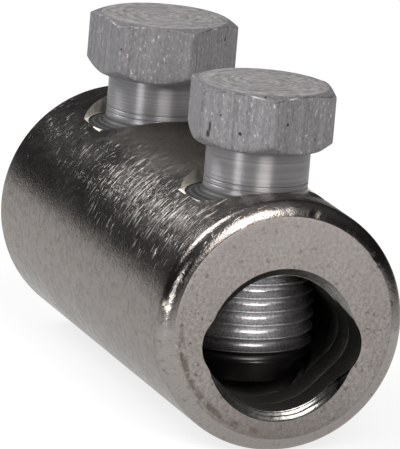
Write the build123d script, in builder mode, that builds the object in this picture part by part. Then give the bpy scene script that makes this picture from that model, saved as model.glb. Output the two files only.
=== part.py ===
# Screw splice connector: a plated tube that takes a conductor into each end,
# and two bolts whose hexagon heads shear off once the conductors are clamped.
# Frame: the tube lies along X, the bolts stand up along Z,
# and the origin is under the middle of the tube, on its lowest line.

import os
from math import atan, cos, degrees, pi, radians, tan
from build123d import *

# Tube, whose end edges are rounded off by two cones that meet at a shoulder
tube_length = 40.0
edge_depth = 1.2
edge_shoulder = 0.35

# Conductor bore: round, drawn out into a nose at either side, and set low in the tube
bore_diameter = 10.1
nose_reach = 6.05
nose_radius = 2.6
wall_under_bore = 2.95
wall_over_bore = 5.45
countersink_depth = 0.6

# Ring grooves that bite into the conductors
groove_count = 6
groove_start = 2.85
groove_pitch = 2.35
groove_width = 0.36
groove_depth = 0.15

# Bolt holes in the top of the tube
bolt_from_end = 8.5
spot_face_margin = 0.4
spot_face_depth = 1.5

# Bolts
thread_diameter = 10.0
thread_height = 0.55
thread_clearance = 0.08
travel_down = 0.75
point_clearance = 0.05
length_under_head = 17.0
head_above_tube = 2.55
head_across_flats = 9.8
head_height = 4.4
head_corner_radius = 0.3
head_top_flat = 9.4
head_top_angle = 18.0
head_bottom_flat = 9.5
head_bottom_angle = 40.0
neck_length = 3.4
neck_foot_ease = 0.3
break_groove_above_foot = 0.8
break_groove_depth = 0.12
flare_length = 0.55
flare_width = 1.05
thread_top_chamfer = 0.15
point_length = 2.05
point_shoulder_inset = 0.65
point_shoulder_length = 0.85
point_end_inset = 1.4

# How far each head is turned about its own axis, in degrees
front_head_turn = -10.0
rear_head_turn = 5.0

# Diameters and spacing, worked out from the sizes above
bolt_spacing = tube_length - 2 * bolt_from_end
spot_face_diameter = thread_diameter + 2 * spot_face_margin
pilot_diameter = thread_diameter - 2 * thread_height
flare_diameter = thread_diameter - 2 * thread_top_chamfer
neck_diameter = flare_diameter - 2 * flare_width
point_shoulder_diameter = thread_diameter - 2 * point_shoulder_inset
point_end_diameter = thread_diameter - 2 * point_end_inset

# Levels above the origin
tube_diameter = wall_under_bore + bore_diameter + wall_over_bore
tube_axis = tube_diameter / 2
bore_axis = wall_under_bore + bore_diameter / 2
spot_face_level = tube_diameter - spot_face_depth
head_underside = tube_diameter + head_above_tube
head_top = head_underside + head_height
head_reach = head_across_flats / 2 / cos(pi / 6)
bolt_tip = head_underside - length_under_head
neck_foot = head_underside - neck_length
thread_top = neck_foot - flare_length
thread_end = bolt_tip + point_length
point_shoulder = thread_end - point_shoulder_length
tapping_end = point_shoulder - travel_down - point_clearance
pilot_end = bolt_tip - travel_down - point_clearance


# The circles that bound the bore's section: the section is the hull round all three
def bore_circles(grow=0.0):
    nose_offset = nose_reach - nose_radius
    with BuildLine(Plane.XY) as circles:
        CenterArc((0, bore_axis), bore_diameter / 2 + grow, 0, 360)
        CenterArc((-nose_offset, bore_axis), nose_radius + grow, 0, 360)
        CenterArc((nose_offset, bore_axis), nose_radius + grow, 0, 360)
    return circles.edges()


# What one ring groove takes out of the bore's wall: a shallow V, deepest in its middle
with BuildPart() as groove_cut:
    with BuildSketch(Plane.YZ):
        make_hull(bore_circles(groove_depth))
    extrude(amount=groove_width / 2, both=True, taper=degrees(atan(2 * groove_depth / groove_width)))

# Connector body
with BuildPart() as connector_body:
    with BuildSketch(Plane.XZ):
        with BuildLine():
            Polyline(
                (0, tube_axis),
                (0, tube_diameter),
                (tube_length / 2 - edge_depth, tube_diameter),
                (tube_length / 2 - edge_shoulder, tube_diameter - edge_shoulder),
                (tube_length / 2, tube_diameter - edge_depth),
                (tube_length / 2, tube_axis),
                close=True,
            )
        make_face()
        mirror(about=Plane.YZ)
    revolve(axis=Axis((0, 0, tube_axis), (1, 0, 0)))

    # Bore from end to end
    with BuildSketch(Plane.YZ):
        make_hull(bore_circles())
    extrude(amount=tube_length / 2, both=True, mode=Mode.SUBTRACT)

    # Round countersink in each mouth, which dies out at the noses
    with BuildSketch(Plane.XZ):
        with BuildLine():
            Polyline(
                (tube_length / 2 - countersink_depth, bore_axis),
                (tube_length / 2 - countersink_depth, bore_axis + bore_diameter / 2),
                (tube_length / 2, bore_axis + bore_diameter / 2 + countersink_depth),
                (tube_length / 2, bore_axis),
                close=True,
            )
        make_face()
        mirror(about=Plane.YZ)
    revolve(axis=Axis((0, 0, bore_axis), (1, 0, 0)), mode=Mode.SUBTRACT)

    # Ring grooves, the same from either end
    groove_places = [tube_length / 2 - groove_start - ring * groove_pitch for ring in range(groove_count)]
    with Locations([(side * place, 0, 0) for side in (-1, 1) for place in groove_places]):
        add(groove_cut.part, mode=Mode.SUBTRACT)

    # For each bolt a spot face, a tapped hole, and the pilot drill's end near the bore's floor
    bolt_places = GridLocations(bolt_spacing, 0, 2, 1)
    for level, diameter in (
        (spot_face_level, spot_face_diameter),
        (tapping_end, thread_diameter + 2 * thread_clearance),
        (pilot_end, pilot_diameter),
    ):
        with BuildSketch(Plane.XY.offset(level)):
            with bolt_places:
                Circle(diameter / 2)
        extrude(amount=tube_diameter - level, mode=Mode.SUBTRACT)


# One shear bolt, at its place along the tube
def build_shear_bolt(place, head_turn):
    bolt_axis = Axis((place, 0, 0), (0, 0, 1))
    profile_plane = Plane((place, 0, 0), x_dir=(1, 0, 0), z_dir=(0, -1, 0))
    top_drop = (head_reach - head_top_flat / 2) * tan(radians(head_top_angle))
    bottom_rise = (head_reach - head_bottom_flat / 2) * tan(radians(head_bottom_angle))
    break_groove = neck_foot + break_groove_above_foot
    flare_slope = flare_length / flare_width

    with BuildPart() as bolt:
        # Head: a hexagon bar whose corners are turned off above and below
        with BuildSketch(Plane.XY.offset(head_underside)):
            with Locations((place, 0)):
                RegularPolygon(head_across_flats / 2, 6, major_radius=False, rotation=head_turn)
        extrude(amount=head_height)
        fillet(bolt.edges().filter_by(Axis.Z), head_corner_radius)
        with BuildSketch(profile_plane):
            with BuildLine():
                Polyline(
                    (0, head_underside),
                    (head_bottom_flat / 2, head_underside),
                    (head_reach, head_underside + bottom_rise),
                    (head_reach, head_top - top_drop),
                    (head_top_flat / 2, head_top),
                    (0, head_top),
                    close=True,
                )
            make_face()
        revolve(axis=bolt_axis, mode=Mode.INTERSECT)

        # Shank: the neck that breaks, the flare below it, the threaded length and the point
        with BuildSketch(profile_plane):
            with BuildLine():
                Polyline(
                    (0, head_underside),
                    (neck_diameter / 2, head_underside),
                    (neck_diameter / 2, break_groove + break_groove_depth),
                    (neck_diameter / 2 - break_groove_depth, break_groove),
                    (neck_diameter / 2, break_groove - break_groove_depth),
                    (neck_diameter / 2, neck_foot + neck_foot_ease),
                    (neck_diameter / 2 + neck_foot_ease, neck_foot - neck_foot_ease * flare_slope),
                    (flare_diameter / 2, thread_top),
                    (thread_diameter / 2, thread_top - thread_top_chamfer),
                    (thread_diameter / 2, thread_end),
                    (point_shoulder_diameter / 2, point_shoulder),
                    (point_end_diameter / 2, bolt_tip),
                    (0, bolt_tip),
                    close=True,
                )
            make_face()
        revolve(axis=bolt_axis)
    return bolt


os.makedirs("parts", exist_ok=True)
connector_body.part.label = "connector_body"
export_step(connector_body.part, "parts/connector_body.step")
for name, place, head_turn in (
    ("front_shear_bolt", bolt_spacing / 2, front_head_turn),
    ("rear_shear_bolt", -bolt_spacing / 2, rear_head_turn),
):
    shear_bolt = build_shear_bolt(place, head_turn)
    shear_bolt.part.label = name
    export_step(shear_bolt.part, f"parts/{name}.step")
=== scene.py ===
import math
import bpy
import bmesh
from functools import lru_cache
from mathutils import Matrix, Vector, noise


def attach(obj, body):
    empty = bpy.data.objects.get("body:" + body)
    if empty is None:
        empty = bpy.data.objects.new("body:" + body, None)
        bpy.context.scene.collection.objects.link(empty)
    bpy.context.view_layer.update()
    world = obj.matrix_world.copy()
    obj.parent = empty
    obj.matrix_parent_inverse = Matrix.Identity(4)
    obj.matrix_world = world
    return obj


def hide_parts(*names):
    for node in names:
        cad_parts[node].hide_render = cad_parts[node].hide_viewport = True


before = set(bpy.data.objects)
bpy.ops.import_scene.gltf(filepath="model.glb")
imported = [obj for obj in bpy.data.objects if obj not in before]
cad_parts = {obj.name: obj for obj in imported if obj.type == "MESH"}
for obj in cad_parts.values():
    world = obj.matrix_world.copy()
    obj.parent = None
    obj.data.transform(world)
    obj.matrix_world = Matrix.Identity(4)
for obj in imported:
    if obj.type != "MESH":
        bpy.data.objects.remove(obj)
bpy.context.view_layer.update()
scene = bpy.context.scene
mm = 0.001
perMetre = 1000.0
sharpAngle = math.radians(32)
print("frame loaded")


# the view, fitted to the photograph
view = {
    "azimuth": 70.413,      # degrees, 0 looks along +Y
    "elevation": 12.63,
    "roll": 4.87,
    "distance": 545.3,      # mm from the middle of the tube
    "focalPixels": 7368,
    "imageHeight": 449,
    "moveRight": 0.345,     # mm, across the view
    "moveUp": 2.771,
    "sensor": 36.0,
}


def addCamera():
    az, el, roll = (math.radians(view[k]) for k in ("azimuth", "elevation", "roll"))
    back = Vector((math.sin(az) * math.cos(el), -math.cos(az) * math.cos(el), math.sin(el)))
    level = (-back).cross(Vector((0, 0, 1))).normalized()
    upright = level.cross(-back)
    right = math.cos(roll) * level + math.sin(roll) * upright
    up = -math.sin(roll) * level + math.cos(roll) * upright
    aim = Vector((0, 0, tube["radius"]))
    place = aim + back * view["distance"] + right * view["moveRight"] + up * view["moveUp"]
    data = bpy.data.cameras.new("photoCamera")
    data.sensor_width = view["sensor"]
    data.lens = view["focalPixels"] / view["imageHeight"] * view["sensor"]
    data.clip_start = 0.01
    data.clip_end = 20
    camera = bpy.data.objects.new("photoCamera", data)
    scene.collection.objects.link(camera)
    turn = Matrix((right, up, back)).transposed().to_4x4()
    camera.matrix_world = Matrix.Translation(place * mm) @ turn
    scene.camera = camera


# small mesh helpers, all sizes in millimetres until the mesh is finished

def addProfile(bm, points, closed=False):
    verts = [bm.verts.new((along, 0, up)) for along, up in points]
    pairs = list(zip(verts, verts[1:]))
    if closed:
        pairs.append((verts[-1], verts[0]))
    return verts + [bm.edges.new(pair) for pair in pairs]


def smoothStep(low, high, value):
    t = min(1.0, max(0.0, (value - low) / (high - low)))
    return t * t * (3 - 2 * t)


def window01(value, low, high, soft):
    return smoothStep(low - soft, low + soft, value) * (1 - smoothStep(high - soft, high + soft, value))


def finishPiece(bm, name, materials, body, node=None):
    mesh = bpy.data.meshes.new(name)
    bmesh.ops.scale(bm, vec=(mm, mm, mm), verts=bm.verts)
    bm.to_mesh(mesh)
    bm.free()
    piece = bpy.data.objects.new(name, mesh)
    scene.collection.objects.link(piece)
    for material in materials:
        mesh.materials.append(material)
    mesh.shade_smooth()
    mesh.set_sharp_from_angle(angle=sharpAngle)
    if body:
        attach(piece, body)
    if node:
        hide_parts(node)
    return piece


# node helpers

class NodeTable:
    def __init__(self, name):
        self.material = bpy.data.materials.new(name)
        self.material.use_nodes = True
        self.nodes = self.material.node_tree.nodes
        self.links = self.material.node_tree.links
        self.shader = self.nodes["Principled BSDF"]

    def add(self, kind, inputs=None, **settings):
        node = self.nodes.new(kind)
        for key, value in settings.items():
            setattr(node, key, value)
        for key, value in (inputs or {}).items():
            self.plug(node.inputs[key], value)
        return node

    def plug(self, socket, value):
        if hasattr(value, "is_output"):
            self.links.new(value, socket)
        else:
            socket.default_value = value

    def math(self, operation, a, b=0.0):
        return self.add("ShaderNodeMath", {0: a, 1: b}, operation=operation).outputs[0]

    def times(self, a, b):
        return self.math("MULTIPLY", a, b)

    def plus(self, a, b):
        return self.math("ADD", a, b)

    def minus(self, a, b):
        return self.math("SUBTRACT", a, b)

    def larger(self, a, b):
        return self.math("MAXIMUM", a, b)

    def hypot(self, a, b):
        return self.math("SQRT", self.plus(self.math("POWER", a, 2.0), self.math("POWER", b, 2.0)))

    def noise(self, vector, scale, detail=2.0, roughness=0.5):
        inputs = {"Vector": vector, "Scale": scale, "Detail": detail, "Roughness": roughness}
        return self.add("ShaderNodeTexNoise", inputs).outputs["Fac"]

    def remap(self, value, low, high, newLow=0.0, newHigh=1.0):
        inputs = {"Value": value, "From Min": low, "From Max": high, "To Min": newLow, "To Max": newHigh}
        return self.add("ShaderNodeMapRange", inputs, clamp=True).outputs["Result"]

    def blend(self, factor, first, second):
        node = self.add("ShaderNodeMix", data_type="RGBA")
        for name, value in (("Factor", factor), ("A", first), ("B", second)):
            self.plug(node.inputs[name], value)
        return node.outputs["Result"]

    def vector(self, x, y, z):
        return self.add("ShaderNodeCombineXYZ", {"X": x, "Y": y, "Z": z}).outputs[0]

    def scaled(self, *pairs):
        # a vector from three values, each times its own factor
        return self.vector(*(self.times(value, factor) for value, factor in pairs))

    def bump(self, height, distance):
        inputs = {"Height": height, "Distance": distance, "Strength": 1.0}
        return self.add("ShaderNodeBump", inputs).outputs["Normal"]

    def set(self, **values):
        for key, value in values.items():
            self.plug(self.shader.inputs[key.replace("_", " ")], value)


# tube

tube = {
    "radius": 9.25,
    "halfLength": 20.0,
    "edgeRadius": 1.2,
    "segments": 448,
    "ringStep": 1.6,
    "edgeRings": 12,
    "boreHeight": 8.0,      # the bore's middle above the floor
    "boreCircles": ((0, 5.05), (3.45, 2.6), (-3.45, 2.6)),
    "sinkDepth": 0.6,
    "sinkRings": 20,
    "sinkBlend": 0.12,      # how softly the countersink dies out at the noses
    "ridgePeriod": 0.3,
    "ridgeWave": 0.06,
    "ridgeRough": 0.03,
    "grooveStart": 2.85,
    "groovePitch": 2.35,
    "grooveCount": 6,
    "grooveHalf": 0.14,
    "grooveDepth": 0.06,
    "insideLimit": 6.5,     # what lies nearer to the tube's axis belongs to the bore
    "sharpAngle": 28,       # after the bolt holes are cut
}

boltSet = {
    "place": 11.5,
    "threadRadius": 5.0,
    "clearance": 0.08,
    "spotRadius": 5.4,
    "spotLevel": 17.0,
    "pilotRadius": 4.45,
    "pilotEnd": 3.25,
    "tappingEnd": 4.45,
    "cutterTop": 22.0,
    "cutterSteps": 128,
}

markedBore = 5.0   # the bore's rings have this radius until they take their real section


@lru_cache(maxsize=None)
def boreRadius(angle, grow):
    # the hull round the bore's circles, seen from the bore's middle
    best = 99.0
    for step in range(-60, 61):
        turn = math.radians(step)
        reach = max(y * math.cos(angle + turn) + r for y, r in tube["boreCircles"])
        best = min(best, (reach + grow) / math.cos(turn))
    return best


def sinkRidge(angle, depth):
    # chatter of the countersink, along the bottom of the mouth
    low = window01(math.degrees(angle), -160, -52, 12)
    wave = math.sin(2 * math.pi * depth / tube["ridgePeriod"] + 1.5 * noise.noise((2.5 * angle, 0, 3)))
    rough = noise.noise((11 * angle, 5 * depth, 7))
    fade = math.sin(math.pi * min(1.0, depth / tube["sinkDepth"]))
    return low * fade * (tube["ridgeWave"] * wave + tube["ridgeRough"] * rough)


def softMax(a, b, width):
    blend = max(0.0, width - abs(a - b))
    return max(a, b) + blend * blend / (4 * width)


def rimDent(place, distance):
    # nicks where the turned edge meets the front face, and a few larger knocks
    inner = tube["radius"] - tube["edgeRadius"]
    edge = window01(distance, inner - 0.1, tube["radius"] - 0.15, 0.1)
    angle = math.atan2(place.y, place.z - tube["radius"])
    around = angle * tube["radius"]
    fine = noise.noise((around * 1.5, distance * 3, 40)) + 0.5 * noise.noise((around * 4, distance * 6, 9))
    patch = smoothStep(0.0, 0.25, noise.noise((around * 0.3, 0, 21)) + 0.05)
    upperRight = window01(math.degrees(angle), 2, 55, 6)
    knocks = max(0.0, noise.noise((around * 0.8, distance * 1.5, 2)) - 0.25) * (0.4 + 1.2 * upperRight)
    return -edge * ((0.06 + 0.09 * upperRight) * max(0.0, fine - 0.1) * patch + 0.1 * knocks)


def tubeProfile():
    half, radius, edge = tube["halfLength"], tube["radius"], tube["edgeRadius"]
    flat = half - edge
    count = round(2 * flat / tube["ringStep"])
    outer = [(-flat + 2 * flat * i / count, radius) for i in range(count)]
    rim = []
    for i in range(tube["edgeRings"] + 1):
        turn = math.pi / 2 * i / tube["edgeRings"]
        rim.append((flat + edge * math.sin(turn), radius - edge + edge * math.cos(turn)))
    rim.append((half, radius - edge - 0.2))
    mouth = [(half - tube["sinkDepth"] * i / tube["sinkRings"], markedBore)
             for i in range(tube["sinkRings"] + 1)]
    inner = []
    for ring in range(tube["grooveCount"]):
        middle = half - tube["grooveStart"] - ring * tube["groovePitch"]
        inner += [(middle + tube["grooveHalf"], markedBore), (middle, markedBore + tube["grooveDepth"]),
                  (middle - tube["grooveHalf"], markedBore)]
    frontHalf = rim + mouth + inner
    rearHalf = [(-x, r) for x, r in reversed(frontHalf)]
    return frontHalf + rearHalf + outer[1:]


def buildTube():
    bm = bmesh.new()
    profile = [(x, r + tube["radius"]) for x, r in tubeProfile()]
    geom = addProfile(bm, profile, closed=True)
    bmesh.ops.spin(bm, geom=geom, cent=(0, 0, tube["radius"]), axis=(1, 0, 0), dvec=(0, 0, 0),
                   angle=2 * math.pi, steps=tube["segments"], use_merge=True, use_duplicate=False)
    bmesh.ops.remove_doubles(bm, verts=bm.verts, dist=1e-4)
    for v in bm.verts:
        y, z = v.co.y, v.co.z - tube["radius"]
        distance = math.hypot(y, z)
        if distance < tube["insideLimit"]:
            angle = round(math.atan2(z, y), 5)
            reach = boreRadius(angle, round(distance - markedBore, 4))
            depth = tube["halfLength"] - abs(v.co.x)
            if depth < tube["sinkDepth"]:
                sink = tube["boreCircles"][0][1] + tube["sinkDepth"] - depth + sinkRidge(angle, depth)
                reach = softMax(reach, sink, tube["sinkBlend"])
            v.co.y = reach * math.cos(angle)
            v.co.z = tube["boreHeight"] + reach * math.sin(angle)
        elif v.co.x > tube["halfLength"] - tube["edgeRadius"] - 0.2:
            forward = smoothStep(8.1, 8.5, distance)
            v.co += rimDent(v.co, distance) * Vector((0.7 * forward, y / distance, z / distance))
    bmesh.ops.recalc_face_normals(bm, faces=bm.faces)
    return bm


def buildHoleCutter(place):
    bm = bmesh.new()
    tapped = boltSet["threadRadius"] + boltSet["clearance"]
    points = [(0, boltSet["pilotEnd"]), (boltSet["pilotRadius"], boltSet["pilotEnd"]),
              (boltSet["pilotRadius"], boltSet["tappingEnd"]), (tapped, boltSet["tappingEnd"]),
              (tapped, boltSet["spotLevel"]), (boltSet["spotRadius"], boltSet["spotLevel"]),
              (boltSet["spotRadius"], boltSet["cutterTop"]), (0, boltSet["cutterTop"])]
    geom = addProfile(bm, [(place + r, z) for r, z in points])
    bmesh.ops.spin(bm, geom=geom, cent=(place, 0, 0), axis=(0, 0, 1), dvec=(0, 0, 0),
                   angle=2 * math.pi, steps=boltSet["cutterSteps"], use_merge=True, use_duplicate=False)
    bmesh.ops.remove_doubles(bm, verts=bm.verts, dist=1e-4)
    bmesh.ops.recalc_face_normals(bm, faces=bm.faces)
    return bm


# bolts

bolt = {
    "steps": 288,
    "pitch": 1.0,
    "threadDepth": 0.5,
    "crestFlat": 0.12,
    "samples": 16,
    "threadTop": 16.95,
    "threadEnd": 6.1,
    "threadFade": 1.2,
    "threadPhase": 0.4,
    "pointShoulder": (4.35, 5.25),
    "pointEnd": (3.6, 4.05),
    "flare": ((4.85, 17.05), (4.45, 17.13), (4.15, 17.25), (3.95, 17.42), (3.84, 17.62), (3.8, 17.85)),
    "neckRing": ((3.8, 18.0), (3.75, 18.06), (3.8, 18.12)),
    "breakGroove": (18.45, 0.07),   # height and depth
    "neckRadius": 3.8,
    "headUnderside": 21.05,
    "headTop": 25.45,
    "acrossFlats": 9.8,
    "cornerRadius": 0.3,
    "topFlat": 4.7,
    "topAngle": 18,
    "bottomFlat": 4.75,
    "bottomAngle": 40,
    "edgeEase": 0.05,
    "blankRadius": 6.0,     # the head's rings, before they take its shape
    # knocks in the front head: place, and half size across and upright
    "pits": (((13.84, -4.79, 22.1), (0.13, 0.27)), ((13.94, -4.74, 22.62), (0.08, 0.4)),
             ((15.44, -2.93, 22.45), (0.13, 0.13)), ((16.64, 0.21, 23.42), (0.12, 0.12)),
             ((15.73, 2.7, 22.14), (0.08, 0.08))),
}


def hexRadius(angle, turn):
    half = bolt["acrossFlats"] / 2
    corner = bolt["cornerRadius"]
    local = (angle - turn) % (math.pi / 3) - math.pi / 6   # from the middle of a flat
    plain = half / math.cos(local)
    # the rounded corner: a circle whose middle lies on the line to the corner
    middle = (half - corner) / math.cos(math.pi / 6)
    offset = math.pi / 6 - abs(local)
    side = middle * math.sin(offset)
    if side < corner * math.sin(math.pi / 6):
        return min(plain, middle * math.cos(offset) + math.sqrt(corner ** 2 - side ** 2))
    return plain


def threadRadius(height, angle):
    phase = (height / bolt["pitch"] - angle / (2 * math.pi) + bolt["threadPhase"]) % 1.0
    fromRoot = abs(phase - 0.5) * 2          # 0 at the root, 1 at the crest
    crest = 1 - bolt["crestFlat"]
    depth = bolt["threadDepth"] * (1 - min(1.0, fromRoot / crest) ** 2.2)
    depth *= smoothStep(0, bolt["threadFade"], bolt["threadTop"] - height)
    radius = boltSet["threadRadius"] - depth
    (shoulderRadius, shoulder), full = bolt["pointShoulder"], boltSet["threadRadius"]
    slope = (full - shoulderRadius) / (bolt["threadEnd"] - shoulder)
    return min(radius, shoulderRadius + slope * (height - shoulder))


def buildThread(bm, place):
    low, high = bolt["pointShoulder"][1], bolt["threadTop"]
    turns = math.ceil((high - low) / bolt["pitch"]) + 1
    start = low - bolt["pitch"]
    points = [(place + boltSet["threadRadius"], start + bolt["pitch"] * i / bolt["samples"])
              for i in range(turns * bolt["samples"] + 1)]
    geom = addProfile(bm, points)
    rise = bolt["pitch"] / bolt["steps"]
    bmesh.ops.spin(bm, geom=geom, cent=(place, 0, 0), axis=(0, 0, 1), dvec=(0, 0, rise),
                   angle=2 * math.pi, steps=bolt["steps"], use_merge=False, use_duplicate=False)
    for v in bm.verts:
        v.co.z = min(high, max(low, v.co.z))
        angle = math.atan2(v.co.y, v.co.x - place)
        radius = threadRadius(v.co.z, angle)
        v.co.x = place + radius * math.cos(angle)
        v.co.y = radius * math.sin(angle)


def headProfile():
    under, top = bolt["headUnderside"], bolt["headTop"]
    rows = [0, 0.015] + [i / 10 for i in range(1, 10)] + [0.985, 1]
    side = [(bolt["blankRadius"], under + (top - under) * t) for t in rows]
    return [(bolt["neckRadius"], under), (bolt["bottomFlat"], under)] + side + \
        [(bolt["topFlat"], top), (3.5, top), (2.2, top), (1.0, top), (0, top)]


def shapeHead(bm, place, turn):
    under, top = bolt["headUnderside"], bolt["headTop"]
    for v in bm.verts:
        x, y = v.co.x - place, v.co.y
        if math.hypot(x, y) < bolt["blankRadius"] - 0.2:
            continue
        angle = math.atan2(y, x)
        t = (v.co.z - under) / (top - under)
        radius = hexRadius(angle, turn)
        if t < 0.001 or t > 0.999:
            radius -= bolt["edgeEase"]
        low = under + max(0, radius - bolt["bottomFlat"]) * math.tan(math.radians(bolt["bottomAngle"]))
        high = top - max(0, radius - bolt["topFlat"]) * math.tan(math.radians(bolt["topAngle"]))
        v.co = (place + radius * math.cos(angle), radius * math.sin(angle), low + t * (high - low))


def buildBolt(place, turn):
    bm = bmesh.new()
    buildThread(bm, place)
    groove, depth = bolt["breakGroove"]
    neck = bolt["neckRadius"]
    upper = [(boltSet["threadRadius"], bolt["threadTop"]), *bolt["flare"], *bolt["neckRing"],
             (neck, groove - depth), (neck - depth, groove), (neck, groove + depth), *headProfile()]
    tip = [bolt["pointShoulder"], bolt["pointEnd"], (0, bolt["pointEnd"][1])]
    for points in (upper, tip):
        other = bmesh.new()
        geom = addProfile(other, [(place + r, z) for r, z in points])
        bmesh.ops.spin(other, geom=geom, cent=(place, 0, 0), axis=(0, 0, 1), dvec=(0, 0, 0),
                       angle=2 * math.pi, steps=bolt["steps"], use_merge=True, use_duplicate=False)
        if points is upper:
            shapeHead(other, place, turn)
        part = bpy.data.meshes.new("part")
        other.to_mesh(part)
        other.free()
        bm.from_mesh(part)
        bpy.data.meshes.remove(part)
    bmesh.ops.remove_doubles(bm, verts=bm.verts, dist=1e-3)
    bmesh.ops.recalc_face_normals(bm, faces=bm.faces)
    return bm


# materials

def roundTheTube(m):
    # millimetres along the tube, and round it from its top line; then the same place in space
    place = m.add("ShaderNodeTexCoord").outputs["Object"]
    x, y, z = m.add("ShaderNodeSeparateXYZ", {0: place}).outputs
    up = m.minus(z, tube["radius"] * mm)
    around = m.times(m.math("ARCTAN2", y, up), tube["radius"])
    solid = m.scaled((x, perMetre), (y, perMetre), (z, perMetre))
    return m.times(x, perMetre), around, solid


def window(m, value, low, high, soft):
    # 1 between low and high, with soft ends
    rise = m.remap(value, low - soft, low + soft)
    fall = m.remap(value, high - soft, high + soft, 1.0, 0.0)
    return m.times(rise, fall)


def tinPlate():
    m = NodeTable("tinPlate")
    along, around, solid = roundTheTube(m)
    wrapped = m.vector(along, around, 0.0)
    cloudy = m.noise(solid, 0.22, 4.0, 0.6)
    grain = m.noise(solid, 7.0, 2.0, 0.6)

    # short scratches round the tube, thickest over the upper left side
    leaning = m.plus(along, m.times(around, 0.1))
    streaks = m.noise(m.scaled((leaning, 5.6), (around, 0.62), (3.0, 1.0)), 1.0, 1.0)
    finer = m.noise(m.scaled((leaning, 11.0), (around, 1.3), (8.0, 1.0)), 1.0, 2.0)
    zone = m.times(window(m, along, -3.0, 19.0, 5.0), window(m, around, -10.3, -4.0, 1.8))
    patchy = m.times(zone, m.remap(cloudy, 0.36, 0.62))
    bright = m.remap(m.plus(streaks, m.times(patchy, 0.1)), 0.68, 0.73)
    thin = m.remap(m.plus(finer, m.times(zone, 0.1)), 0.69, 0.78)
    scratch = m.larger(bright, m.times(thin, 0.45))
    upperSide = m.times(window(m, around, -10.5, 12.0, 1.5), 0.35)
    scratch = m.times(scratch, m.larger(m.remap(zone, 0.0, 0.4), upperSide))

    # dull brownish patch between the bolts, and shade along the front edge
    mottle = m.noise(solid, 1.5, 4.0, 0.7)
    dull = m.times(window(m, along, -7.5, 6.0, 1.2), window(m, around, -4.6, 9.0, 1.3))
    edgeShade = m.times(m.remap(along, 18.3, 18.9), window(m, around, -12.6, -7.5, 1.0))
    # painted light on the shoulder between the front bolt and the front edge, where the plating is also
    # made rougher and less metallic
    besideBolt = m.times(window(m, around, -2.7, -1.6, 0.9), 0.5)
    besideBolt = m.larger(window(m, around, 1.5, 4.5, 1.2), besideBolt)
    shoulder = m.times(window(m, along, 16.9, 18.3, 0.6), besideBolt)
    shoulder = m.times(shoulder, m.remap(mottle, 0.3, 0.65, 0.1, 0.7))
    # the front edge: painted shade right of its bright crescent, painted light low on the left, and one
    # painted glint
    edgePaintedShade = m.times(m.remap(along, 18.75, 18.95), window(m, around, 0.0, 9.0, 0.4))
    edgePaintedLight = m.times(m.remap(along, 18.6, 19.2), m.remap(m.math("ABSOLUTE", around), 13.6, 15.0))
    paintedGlint = m.times(window(m, along, 19.2, 19.75, 0.1), window(m, around, -13.2, -12.7, 0.2))
    paintedGlint = m.times(paintedGlint, m.remap(m.noise(wrapped, 3.5, 3.0, 0.7), 0.4, 0.5))
    topShade = m.times(m.remap(along, 3.0, -5.0), window(m, around, -10.5, -2.0, 2.0))
    spots = m.remap(m.noise(solid, 1.3, 2.0), 0.7, 0.73)
    edge = window(m, along, 17.6, 19.7, 0.5)
    grime = m.times(edge, m.remap(m.noise(wrapped, 2.6, 4.0, 0.7), 0.56, 0.64))
    colour = m.blend(cloudy, (0.2, 0.184, 0.175, 1), (0.26, 0.241, 0.23, 1))
    colour = m.blend(m.remap(grain, 0.3, 0.7, 0.4, 0.0), colour, (0.15, 0.14, 0.134, 1))
    colour = m.blend(m.remap(mottle, 0.45, 0.7, 0.0, 0.75), colour, (0.12, 0.11, 0.103, 1))
    # painted shade: the plating darker towards the underside of the tube
    undersidePaintedShade = m.remap(m.math("ABSOLUTE", around), 16.0, 21.0, 0.0, 0.55)
    colour = m.blend(undersidePaintedShade, colour, (0.11, 0.1, 0.094, 1))
    colour = m.blend(m.times(topShade, 0.7), colour, (0.08, 0.078, 0.076, 1))
    colour = m.blend(m.times(edgeShade, 0.8), colour, (0.05, 0.047, 0.044, 1))
    colour = m.blend(m.times(scratch, 0.8), colour, (0.5, 0.485, 0.465, 1))
    stain = m.blend(m.remap(mottle, 0.4, 0.65), (0.064, 0.057, 0.047, 1), (0.028, 0.025, 0.02, 1))
    colour = m.blend(m.times(dull, 0.85), colour, stain)
    colour = m.blend(m.times(spots, 0.75), colour, (0.07, 0.055, 0.045, 1))
    colour = m.blend(m.times(edgePaintedLight, 0.6), colour, (0.36, 0.336, 0.32, 1))
    colour = m.blend(m.times(edgePaintedShade, 0.75), colour, (0.06, 0.057, 0.054, 1))
    colour = m.blend(shoulder, colour, (0.5, 0.485, 0.475, 1))
    colour = m.blend(paintedGlint, colour, (0.8, 0.7, 0.6, 1))
    colour = m.blend(m.times(grime, 0.8), colour, (0.07, 0.055, 0.045, 1))
    rough = m.plus(m.remap(cloudy, 0.3, 0.7, 0.17, 0.24), m.times(scratch, 0.15))
    rough = m.plus(rough, m.times(dull, m.remap(mottle, 0.35, 0.65, 0.15, 0.35)))
    rough = m.plus(rough, m.times(m.larger(shoulder, paintedGlint), 0.35))
    rough = m.plus(rough, m.remap(mottle, 0.4, 0.7, 0.0, 0.08))
    height = m.plus(m.times(grain, 0.6), scratch)
    height = m.plus(height, m.times(mottle, 0.8))
    metallic = m.minus(1.0, m.times(shoulder, 0.7))
    m.set(Base_Color=colour, Metallic=metallic, Roughness=rough, Specular_Tint=(0.78, 0.76, 0.74, 1),
          Normal=m.bump(height, 0.00003))
    return m.material


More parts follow.
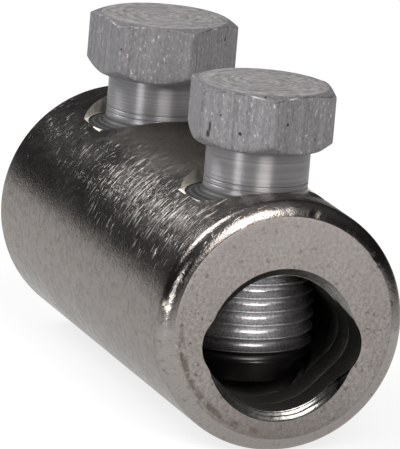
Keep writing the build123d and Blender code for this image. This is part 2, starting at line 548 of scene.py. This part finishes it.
def matteFaceTin():
    m = NodeTable("matteFaceTin")
    place = m.add("ShaderNodeTexCoord").outputs["Object"]
    x, y, z = m.add("ShaderNodeSeparateXYZ", {0: place}).outputs
    speckle = m.noise(place, 3600.0, 4.0, 0.75)
    cloudy = m.noise(place, 350.0, 4.0, 0.6)
    spots = m.remap(m.noise(place, 1500.0, 2.0, 0.6), 0.63, 0.66)
    # a brown rub along the lower left edge
    up = m.minus(z, tube["radius"] * mm)
    reach = m.times(m.hypot(y, up), perMetre)
    lowLeft = m.times(m.remap(z, 0.0095, 0.008), m.remap(y, 0.0, -0.002))
    rub = m.times(window(m, reach, 7.5, 7.95, 0.1), lowLeft)
    rub = m.times(rub, m.remap(m.noise(place, 700.0, 3.0, 0.7), 0.4, 0.52))
    colour = m.blend(m.remap(speckle, 0.3, 0.7), (0.15, 0.139, 0.133, 1), (0.37, 0.348, 0.335, 1))
    colour = m.blend(m.remap(cloudy, 0.3, 0.7, 0.4, 0.0), colour, (0.17, 0.15, 0.138, 1))
    colour = m.blend(m.times(spots, 0.7), colour, (0.1, 0.088, 0.078, 1))
    # painted shade, darker towards the bottom of the face, and painted light, paler towards its top
    colour = m.blend(m.remap(z, 0.0, 0.0055, 0.8, 0.0), colour, (0.13, 0.117, 0.107, 1))
    colour = m.blend(m.remap(z, 0.01, 0.016, 0.0, 0.35), colour, (0.37, 0.352, 0.34, 1))
    colour = m.blend(m.times(rub, 0.7), colour, (0.09, 0.066, 0.052, 1))
    m.set(Base_Color=colour, Metallic=1.0, Roughness=0.5, Normal=m.bump(speckle, 0.00003))
    return m.material


def boreMetal(name, dark, light, roughness, bumpDistance, metallic=1.0, shadedSide=False,
              grainScale=3000.0):
    m = NodeTable(name)
    place = m.add("ShaderNodeTexCoord").outputs["Object"]
    x, y, z = m.add("ShaderNodeSeparateXYZ", {0: place}).outputs
    grain = m.noise(place, grainScale, 3.0)
    rings = m.noise(m.vector(m.times(x, 4500.0), 0.0, 0.0), 1.0, 3.0, 0.7)
    mixed = m.plus(m.times(grain, 0.5), m.times(rings, 0.5))
    colour = m.blend(m.remap(mixed, 0.3, 0.7), dark, light)
    if shadedSide:
        shaded = m.times(m.remap(y, 0.0026, 0.0046), m.remap(z, 0.0065, 0.0075, 1.0, 0.0))
        colour = m.blend(shaded, colour, (0.003, 0.003, 0.003, 1))
    else:
        # painted light: paler towards the bottom of the bore
        colour = m.blend(m.remap(z, 0.003, 0.0055, 0.6, 0.0), colour, (0.3, 0.29, 0.27, 1))
    m.set(Base_Color=colour, Metallic=metallic, Roughness=roughness, Specular_Tint=(0.35, 0.35, 0.34, 1),
          Normal=m.bump(mixed, bumpDistance))
    return m.material


def boltAlloy():
    m = NodeTable("boltAlloy")
    place = m.add("ShaderNodeTexCoord").outputs["Object"]
    x, y, z = m.add("ShaderNodeSeparateXYZ", {0: place}).outputs
    height = m.times(z, perMetre)
    across = m.times(m.minus(m.math("ABSOLUTE", x), boltSet["place"] * mm), perMetre)
    side = m.times(y, perMetre)
    radius = m.hypot(across, side)
    inHead = m.remap(height, bolt["headUnderside"] - 0.05, bolt["headUnderside"] + 0.05)
    onTop = m.remap(height, bolt["headTop"] - 0.02, bolt["headTop"] - 0.005)

    # drawn and speckled sides, rough rings and cut marks over the top, turned neck
    speckle = m.noise(m.scaled((across, 6.0), (side, 6.0), (height, 2.6)), 1.0, 3.0, 0.7)
    lines = m.noise(m.scaled((across, 4.0), (side, 4.0), (height, 0.15)), 1.0, 3.0, 0.6)
    drawn = m.plus(m.times(speckle, 0.6), m.times(lines, 0.4))
    marks = 0.0
    lengthways = m.times(x, perMetre)
    for (px, py, pz), (wide, tall) in bolt["pits"]:
        parts = ((lengthways, px, wide), (side, py, wide), (height, pz, tall))
        away = [m.math("DIVIDE", m.minus(value, middle), half) for value, middle, half in parts]
        apart = m.add("ShaderNodeVectorMath", {0: m.vector(*away)}, operation="LENGTH").outputs["Value"]
        marks = m.larger(marks, m.remap(apart, 0.7, 1.2, 1.0, 0.0))
    pits = m.remap(m.noise(m.scaled((across, 2.2), (side, 2.2), (height, 1.5)), 1.0, 1.0), 0.76, 0.79)
    glints = m.remap(speckle, 0.62, 0.7)
    circles = m.noise(m.scaled((radius, 3.2), (across, 0.9), (side, 0.5)), 1.0, 3.0, 0.65)
    cuts = m.noise(m.scaled((across, 5.0), (side, 1.6), (4.0, 1.0)), 1.0, 4.0, 0.7)
    rings = m.plus(m.times(circles, 0.45), m.times(cuts, 0.55))
    turned = m.noise(m.scaled((height, 7.0), (across, 0.12), (0.0, 1.0)), 1.0, 5.0, 0.75)
    texture = m.blend(inHead, turned, m.blend(onTop, drawn, rings))
    shade = m.remap(texture, 0.3, 0.7)
    plain = m.blend(shade, (0.155, 0.153, 0.158, 1), (0.265, 0.262, 0.27, 1))
    # the flare at the foot of the neck: turned rings, darkened as painted shade
    flareRings = m.remap(m.noise(m.vector(m.times(radius, 5.0), 0.0, 9.0), 1.0, 2.0), 0.4, 0.6)
    flare = m.blend(flareRings, (0.015, 0.0145, 0.014, 1), (0.068, 0.067, 0.068, 1))
    plain = m.blend(m.remap(height, 17.5, 17.85), flare, plain)
    sides = m.blend(shade, (0.075, 0.074, 0.078, 1), (0.205, 0.202, 0.21, 1))
    sides = m.blend(m.times(glints, 0.6), sides, (0.5, 0.49, 0.49, 1))
    sides = m.blend(m.larger(pits, marks), sides, (0.015, 0.012, 0.012, 1))
    top = m.blend(m.remap(rings, 0.38, 0.62), (0.12, 0.113, 0.114, 1), (0.36, 0.35, 0.354, 1))
    # painted shade and painted highlight along the brink of the top: height measured along the cone that
    # turns the corners off
    coneSlope = math.tan(math.radians(bolt["topAngle"]))
    cone = m.plus(height, m.times(m.minus(radius, bolt["topFlat"]), coneSlope))
    brinkNoise = m.noise(m.scaled((across, 0.8), (side, 0.8), (5.0, 1.0)), 1.0, 2.0)
    brink = window(m, cone, bolt["headTop"] - 0.1, bolt["headTop"] - 0.02, 0.02)
    brinkPaintedShade = m.times(brink, m.remap(brinkNoise, 0.52, 0.42, 0.0, 0.7))
    brinkPaintedLight = m.times(brink, m.remap(brinkNoise, 0.56, 0.66, 0.0, 0.7))
    sides = m.blend(brinkPaintedShade, sides, (0.04, 0.039, 0.04, 1))
    sides = m.blend(brinkPaintedLight, sides, (0.5, 0.49, 0.48, 1))
    head = m.blend(onTop, sides, top)
    inThread = m.remap(height, bolt["threadTop"] - 0.1, bolt["threadTop"], 1.0, 0.0)
    onNeck = m.times(m.remap(height, 17.6, 17.9), m.minus(1.0, inHead))
    thread = m.blend(m.remap(speckle, 0.35, 0.65), (0.3, 0.297, 0.303, 1), (0.62, 0.615, 0.625, 1))
    # painted shade over the thread's lowest turns
    thread = m.blend(m.remap(height, 6.2, 7.7), (0.04, 0.04, 0.04, 1), thread)
    tangent = m.vector(m.times(side, -1.0), m.times(across, m.math("SIGN", x)), 0.0)
    metallic = m.minus(m.minus(0.85, m.times(inHead, 0.5)), m.times(onNeck, 0.3))
    rough = m.plus(m.times(inHead, 0.15), m.times(inThread, -0.12))
    rough = m.plus(rough, m.times(window(m, height, 16.95, 17.7, 0.05), 0.15))
    depth = m.plus(m.remap(inHead, 0.0, 1.0, 0.2, 1.0), m.times(inThread, 0.3))
    relief = m.minus(m.times(texture, depth), marks)
    m.set(Base_Color=m.blend(inThread, m.blend(inHead, plain, head), thread),
          Metallic=m.plus(metallic, m.times(inThread, 0.11)), Roughness=m.plus(rough, 0.4),
          Anisotropic=onNeck, Anisotropic_Rotation=0.25, Tangent=tangent, Normal=m.bump(relief, 0.00004))
    return m.material


faceSlot, boreSlot, sinkSlot, cutSlot = range(1, 5)   # places in the tube's materials, after the plating
tin = tinPlate()
matteFace = matteFaceTin()
boreWall = boreMetal("boreWall", (0.04, 0.04, 0.037, 1), (0.16, 0.16, 0.147, 1), 0.42, 0.0001)
sinkMetal = boreMetal("sinkMetal", (0.1, 0.098, 0.093, 1), (0.33, 0.325, 0.31, 1), 0.27, 0.00003,
                      shadedSide=True)
freshCut = boreMetal("freshCut", (0.3, 0.26, 0.18, 1), (0.98, 0.97, 0.93, 1), 0.5, 0.0002,
                     metallic=0.2, grainScale=1200.0)
alloy = boltAlloy()
print("materials made")

addCamera()

# body
tubeMesh = buildTube()
body = finishPiece(tubeMesh, "plated_tube", [tin, matteFace, boreWall, sinkMetal, freshCut], None)
for place in (boltSet["place"], -boltSet["place"]):
    cutter = finishPiece(buildHoleCutter(place), "holeCutter", [], None)
    cut = body.modifiers.new("hole", "BOOLEAN")
    cut.operation = "DIFFERENCE"
    cut.solver = "MANIFOLD"
    cut.object = cutter
    bpy.context.view_layer.update()
    cutMesh = bpy.data.meshes.new_from_object(body.evaluated_get(bpy.context.evaluated_depsgraph_get()))
    body.modifiers.clear()
    body.data = cutMesh
    bpy.data.objects.remove(cutter)
body.data.shade_smooth()
body.data.set_sharp_from_angle(angle=math.radians(tube["sharpAngle"]))
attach(body, "tube")
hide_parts("connector_body")
for face in body.data.polygons:
    offset = math.hypot(abs(face.center.x) - boltSet["place"] * mm, face.center.y)
    if offset < (boltSet["spotRadius"] + 0.01) * mm and face.center.z > (boltSet["spotLevel"] - 0.01) * mm:
        face.material_index = cutSlot
    elif abs(face.normal.x) > 0.99 and abs(face.center.x) > (tube["halfLength"] - 0.01) * mm:
        face.material_index = faceSlot
    elif math.hypot(face.center.y, face.center.z - tube["boreHeight"] * mm) < 6.3 * mm:
        sinkStart = (tube["halfLength"] - tube["sinkDepth"]) * mm
        inSink = abs(face.center.x) > sinkStart and abs(face.normal.x) > 0.3
        face.material_index = sinkSlot if inSink else boreSlot
print("tube made")

for name, side, turn in (("front", 1, -10), ("rear", -1, 5)):
    shape = buildBolt(side * boltSet["place"], math.radians(turn))
    finishPiece(shape, name + "_hex_bolt", [alloy], name + "_bolt", name + "_shear_bolt")
print("bolts made")


# floor and light

def addFloor():
    # a white sheet that fades out round the object
    bm = bmesh.new()
    bmesh.ops.create_grid(bm, x_segments=4, y_segments=4, size=3000)
    m = NodeTable("paleFloor")
    path = m.add("ShaderNodeLightPath").outputs
    seen = m.larger(path["Is Glossy Ray"], path["Is Transmission Ray"])
    seen = m.larger(path["Is Camera Ray"], seen)
    place = m.add("ShaderNodeTexCoord").outputs["Object"]
    distance = m.add("ShaderNodeVectorMath", {0: place}, operation="LENGTH").outputs["Value"]
    sheet = m.remap(distance, 0.16, 0.34, 1.0, 0.06)
    m.set(Base_Color=m.blend(sheet, (0, 0, 0, 1), (0.8, 0.8, 0.8, 1)), Roughness=0.9)
    white = m.blend(sheet, (0, 0, 0, 1), (1, 1, 1, 1))
    glow = m.add("ShaderNodeEmission", {"Color": white, "Strength": 1.0})
    mix = m.add("ShaderNodeMixShader", {0: m.times(seen, 0.8), 1: m.shader.outputs[0],
                                        2: glow.outputs[0]})
    m.links.new(mix.outputs[0], m.nodes["Material Output"].inputs["Surface"])
    finishPiece(bm, "floor", [m.material], None)


def addSoftbox(name, azimuth, elevation, distance, size, power, colour=(1, 1, 1)):
    az, el = math.radians(azimuth), math.radians(elevation)
    away = Vector((math.sin(az) * math.cos(el), -math.cos(az) * math.cos(el), math.sin(el)))
    data = bpy.data.lights.new(name, "AREA")
    data.shape = "RECTANGLE"
    data.size, data.size_y = size
    data.energy = power
    data.color = colour
    lamp = bpy.data.objects.new(name, data)
    lamp.location = away * distance + Vector((0, 0, 0.01))
    lamp.rotation_euler = away.to_track_quat("Z", "Y").to_euler()
    scene.collection.objects.link(lamp)


def addWorld():
    world = bpy.data.worlds.new("studio")
    scene.world = world
    world.use_nodes = True
    nodes, links = world.node_tree.nodes, world.node_tree.links
    coords = nodes.new("ShaderNodeTexCoord")
    split = nodes.new("ShaderNodeSeparateXYZ")
    ramp = nodes.new("ShaderNodeValToRGB")
    links.new(coords.outputs["Generated"], split.inputs[0])
    links.new(split.outputs["Z"], ramp.inputs[0])
    for element, (height, tone) in zip(ramp.color_ramp.elements, ((0.0, 0.05), (1.0, 0.45))):
        element.position = height
        element.color = (tone, tone, tone * 1.02, 1)
    for height, tone in ((0.42, 0.07), (0.7, 0.3)):
        ramp.color_ramp.elements.new(height).color = (tone, tone, tone * 1.02, 1)
    links.new(ramp.outputs[0], nodes["Background"].inputs["Color"])


addFloor()
addWorld()
addSoftbox("frontWindow", 89, 34, 0.7, (0.32, 0.62), 6.5, (1, 0.95, 0.92))
addSoftbox("backLeft", -47, 42, 0.7, (0.32, 0.32), 5)
addSoftbox("leftStrip", 30, 10, 0.7, (0.17, 0.22), 2.2)
print("stage made")

scene.view_settings.view_transform = "Standard"
